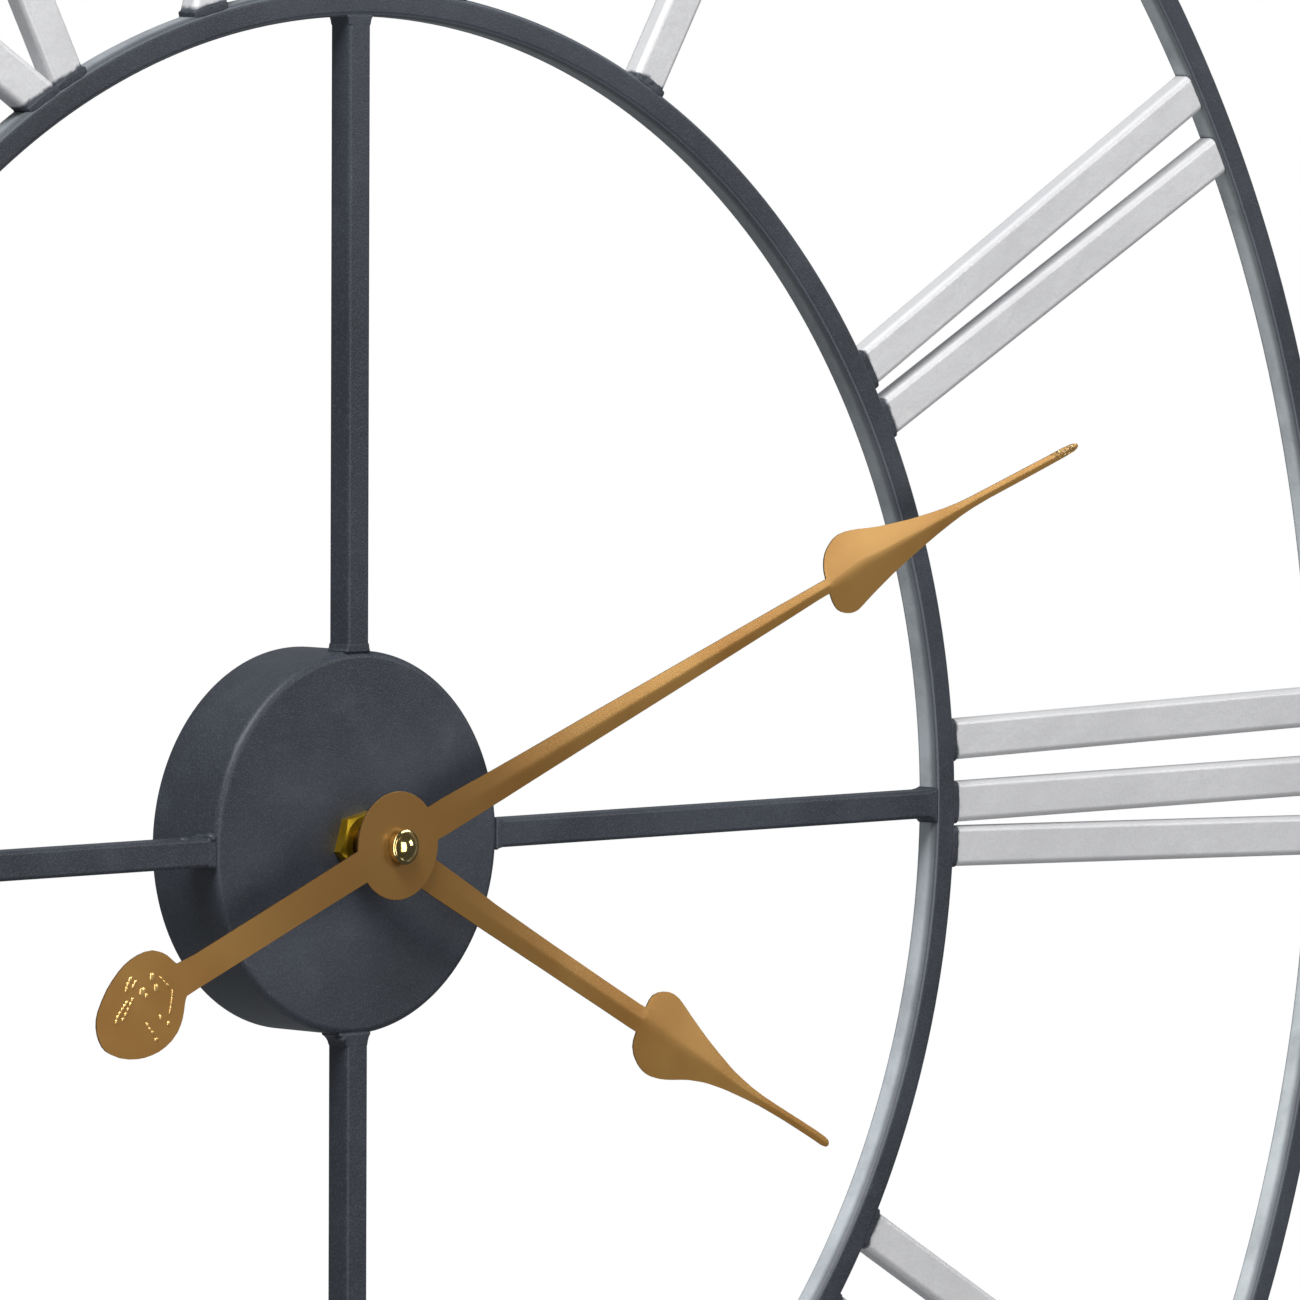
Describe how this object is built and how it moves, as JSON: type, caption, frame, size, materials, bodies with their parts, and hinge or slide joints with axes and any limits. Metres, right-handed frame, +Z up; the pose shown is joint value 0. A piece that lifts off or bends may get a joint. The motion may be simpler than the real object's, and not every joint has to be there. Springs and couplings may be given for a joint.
{
  "type": "wall clock",
  "caption": "Large skeleton wall clock: two dark steel rings joined by welded silver Roman numerals, a round hub with four spokes, and two gold spade hands.",
  "frame": {"origin": "where the axis of the hands meets the wall plane, behind the hub", "axes": "+Z up through twelve o'clock, +X towards three o'clock, +Y into the wall; the clock faces -Y"},
  "size_m": [0.6, 0.0355, 0.6],
  "materials": {
    "frame_paint": "fine-textured charcoal powder coat, satin",
    "numeral_paint": "silver paint, satin",
    "hand_gold": "antique gold lacquer, satin",
    "brass": "polished",
    "case_plastic": "moulded, fine matt",
    "gear_plastic": "moulded acetal",
    "knob_plastic": "moulded, grooved rim",
    "rubber": "matt",
    "contact_steel": "nickel-plated spring strip",
    "battery_sleeve": "plain shrink sleeve, no lettering"
  },
  "bodies": {
    "frame": {"outer_ring": "frame_paint", "inner_ring": "frame_paint", "spoke_top": "frame_paint", "spoke_right": "frame_paint", "spoke_bottom": "frame_paint", "spoke_left": "frame_paint", "hub_cup": "frame_paint", "hanger_bracket": "frame_paint", "numeral_01": "numeral_paint", "numeral_02": "numeral_paint", "numeral_03": "numeral_paint", "numeral_04": "numeral_paint", "numeral_05": "numeral_paint", "numeral_06": "numeral_paint", "numeral_07": "numeral_paint", "numeral_08": "numeral_paint", "numeral_09": "numeral_paint", "numeral_10": "numeral_paint", "numeral_11": "numeral_paint", "numeral_12": "numeral_paint", "movement_front_case": "case_plastic", "movement_rear_case": "case_plastic", "threaded_bush": "brass", "hex_nut": "brass", "rubber_washer": "rubber", "contact_plus": "contact_steel", "contact_minus": "contact_steel"},
    "minute_works": {"minute_arbor": "brass", "minute_hand": "hand_gold", "cap_nut": "brass"},
    "hour_works": {"hour_wheel": "gear_plastic", "hour_hand": "hand_gold", "hour_collet": "brass"},
    "motion_work": {"motion_wheel": "gear_plastic"},
    "time_setter": {"setting_knob": "knob_plastic"},
    "battery": {"battery_cell": "battery_sleeve"}
  },
  "joints": [
    {"name": "minute_turn", "type": "hinge", "parent": "frame", "child": "minute_works", "pos_m": [0, 0, 0], "axis": [0, 1, 0], "continuous": true},
    {"name": "hour_turn", "type": "hinge", "parent": "frame", "child": "hour_works", "pos_m": [0, 0, 0], "axis": [0, 1, 0], "continuous": true},
    {"name": "motion_turn", "type": "hinge", "parent": "frame", "child": "motion_work", "pos_m": [0.009, 0, 0], "axis": [0, 1, 0], "continuous": true},
    {"name": "setter_turn", "type": "hinge", "parent": "frame", "child": "time_setter", "pos_m": [0.018, 0, 0], "axis": [0, 1, 0], "continuous": true},
    {"name": "battery_out", "type": "slide", "parent": "frame", "child": "battery", "axis": [0, 1, 0], "range_m": [0, 0.03]}
  ],
  "couplings": [
    {"joint": "hour_turn", "follows": "minute_turn", "ratio": 0.083333},
    {"joint": "motion_turn", "follows": "minute_turn", "ratio": -0.33333},
    {"joint": "setter_turn", "follows": "minute_turn", "ratio": 1}
  ]
}
